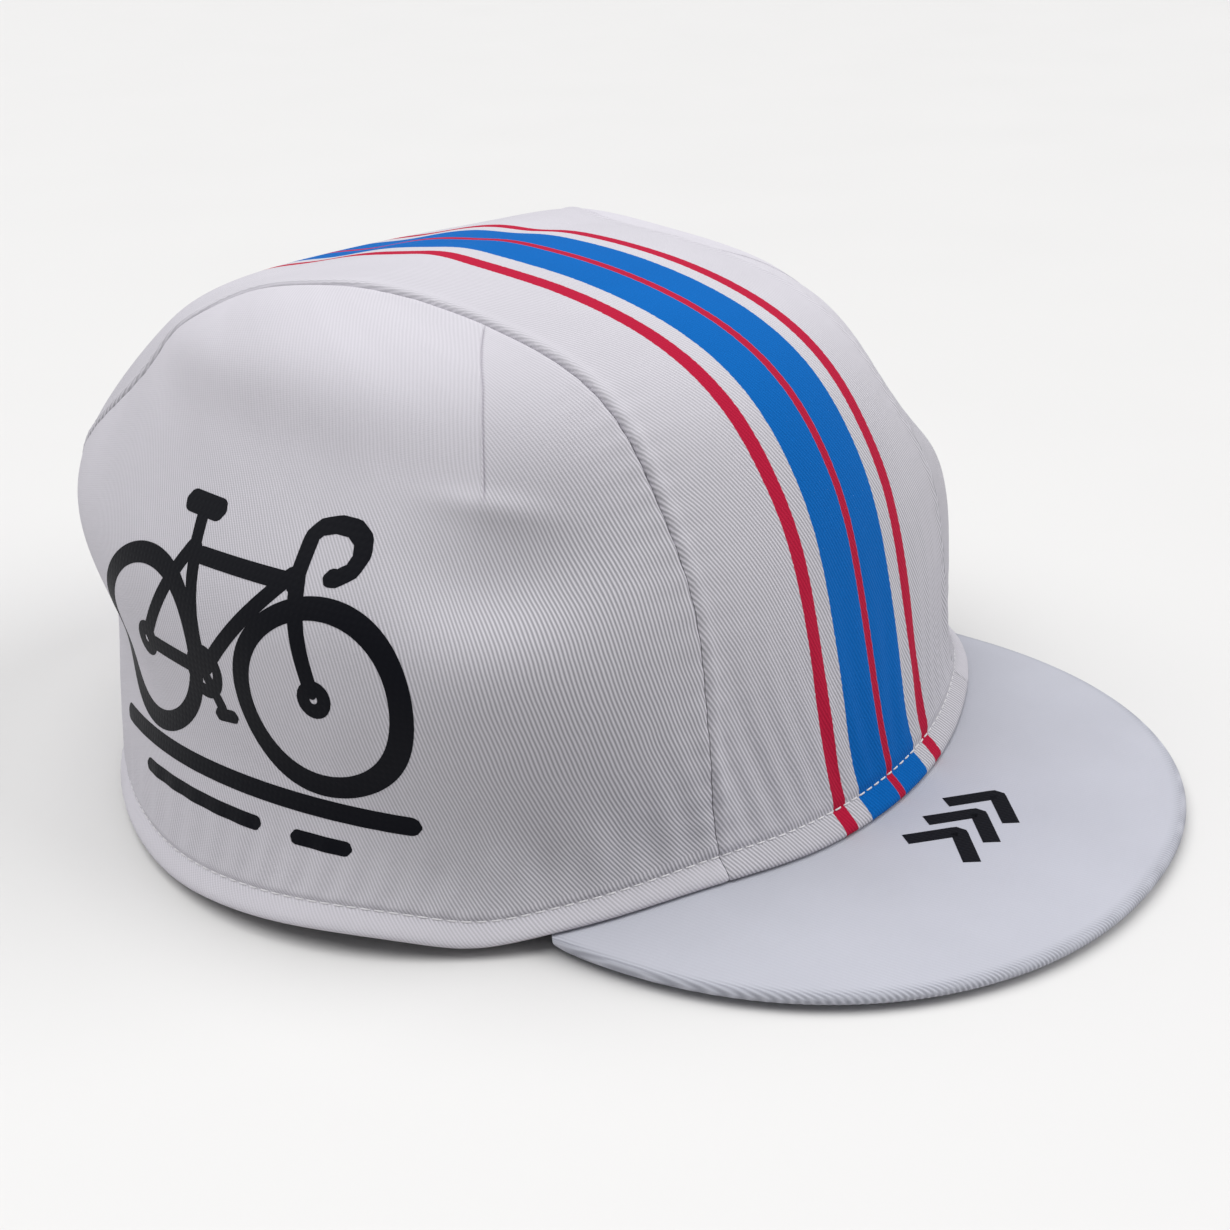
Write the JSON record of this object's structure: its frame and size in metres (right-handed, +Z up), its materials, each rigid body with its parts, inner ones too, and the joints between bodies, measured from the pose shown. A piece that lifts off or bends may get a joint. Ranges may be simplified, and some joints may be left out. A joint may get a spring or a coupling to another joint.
{
  "type": "cycling cap",
  "caption": "Soft white cotton cycling cap: a striped centre panel, two side panels with darts, a stitched hem and a short peak, resting on its rim.",
  "frame": {"origin": "middle of the footprint's box, on the surface that the cap rests on", "axes": "+Z up, the peak points to -Y, and the wearer's right side is -X; the X=0 plane is the cap's middle plane"},
  "size_m": [0.1936, 0.2252, 0.0975],
  "materials": {
    "striped_twill": "white cotton twill printed with a blue stripe and red lines",
    "white_twill": "white cotton twill with a small black print",
    "peak_cover": "smooth fine cotton over a board",
    "peak_under_cover": "white cotton twill with slanting ribs, wrapped round the edge"
  },
  "bodies": {
    "root": {"centre_panel": "striped_twill", "side_panel_right": "white_twill", "side_panel_left": "white_twill", "peak_top": "peak_cover", "peak_under": "peak_under_cover"}
  },
  "joints": []
}
